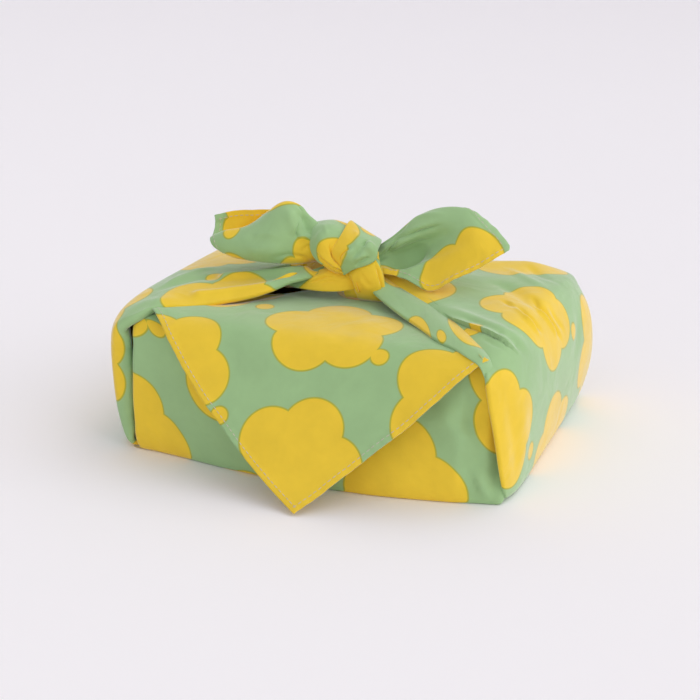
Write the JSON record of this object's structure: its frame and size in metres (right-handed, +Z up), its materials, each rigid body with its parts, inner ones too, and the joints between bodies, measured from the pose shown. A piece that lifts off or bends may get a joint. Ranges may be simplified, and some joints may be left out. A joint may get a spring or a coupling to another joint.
{
  "type": "furoshiki wrap",
  "caption": "Square cotton cloth wrapped round a low flat parcel, gathered from both ends and knotted on top, with a loose corner hanging over the front.",
  "frame": {"origin": "centre of the parcel's flat underside, on the surface it stands on", "axes": "+X along the parcel's long side, to the right seen from the front; -Y towards the hanging corner; +Z up"},
  "size_m": [0.199, 0.1864, 0.1083],
  "materials": {
    "cotton": "matte plain-weave cotton, printed"
  },
  "bodies": {
    "root": {"furoshiki": "cotton"}
  },
  "joints": []
}
